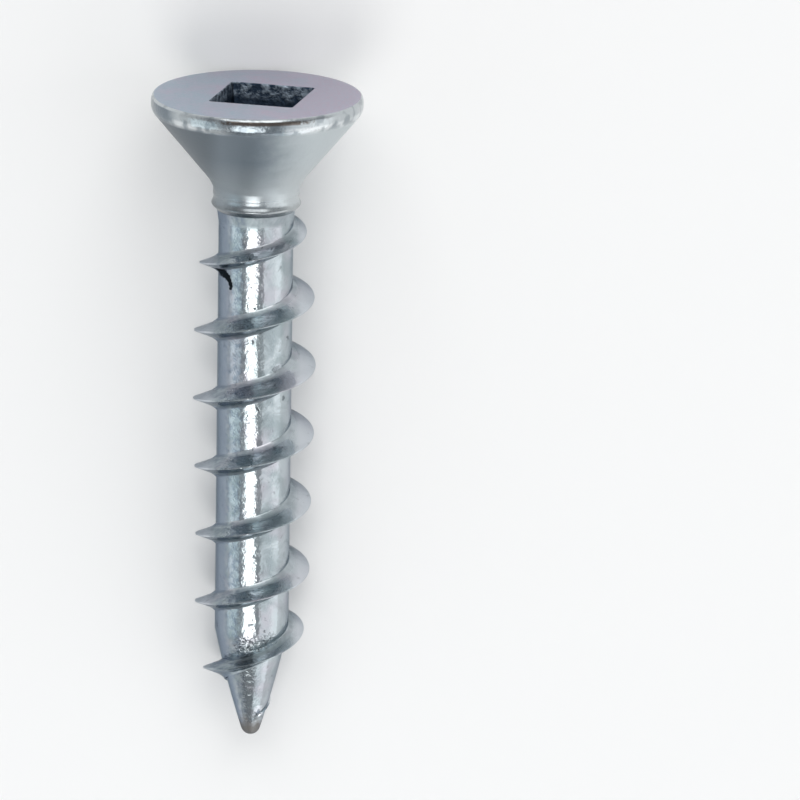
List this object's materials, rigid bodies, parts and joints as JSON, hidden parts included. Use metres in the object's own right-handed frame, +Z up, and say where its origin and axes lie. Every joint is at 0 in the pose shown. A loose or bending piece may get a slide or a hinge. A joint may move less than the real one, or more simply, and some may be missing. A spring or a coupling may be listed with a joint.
{
  "type": "particle board screw",
  "caption": "Flat-head particle board screw, square drive, coarse thread fading onto a plain blunt-tipped point, lying on its side.",
  "frame": {"origin": "centre of the bounding box on the surface the screw lies on", "axes": "+Y along the screw from the tip towards the head, which is the higher end by the lean of the rest pose (about 5 degrees); +Z up from the surface; +X to the right when looking down with the head away from the viewer"},
  "size_m": [0.007, 0.0224, 0.007],
  "materials": {
    "zinc": "clear zinc plating, glossy on the shank and satin on the head"
  },
  "bodies": {
    "root": {"screw": "zinc"}
  },
  "joints": []
}
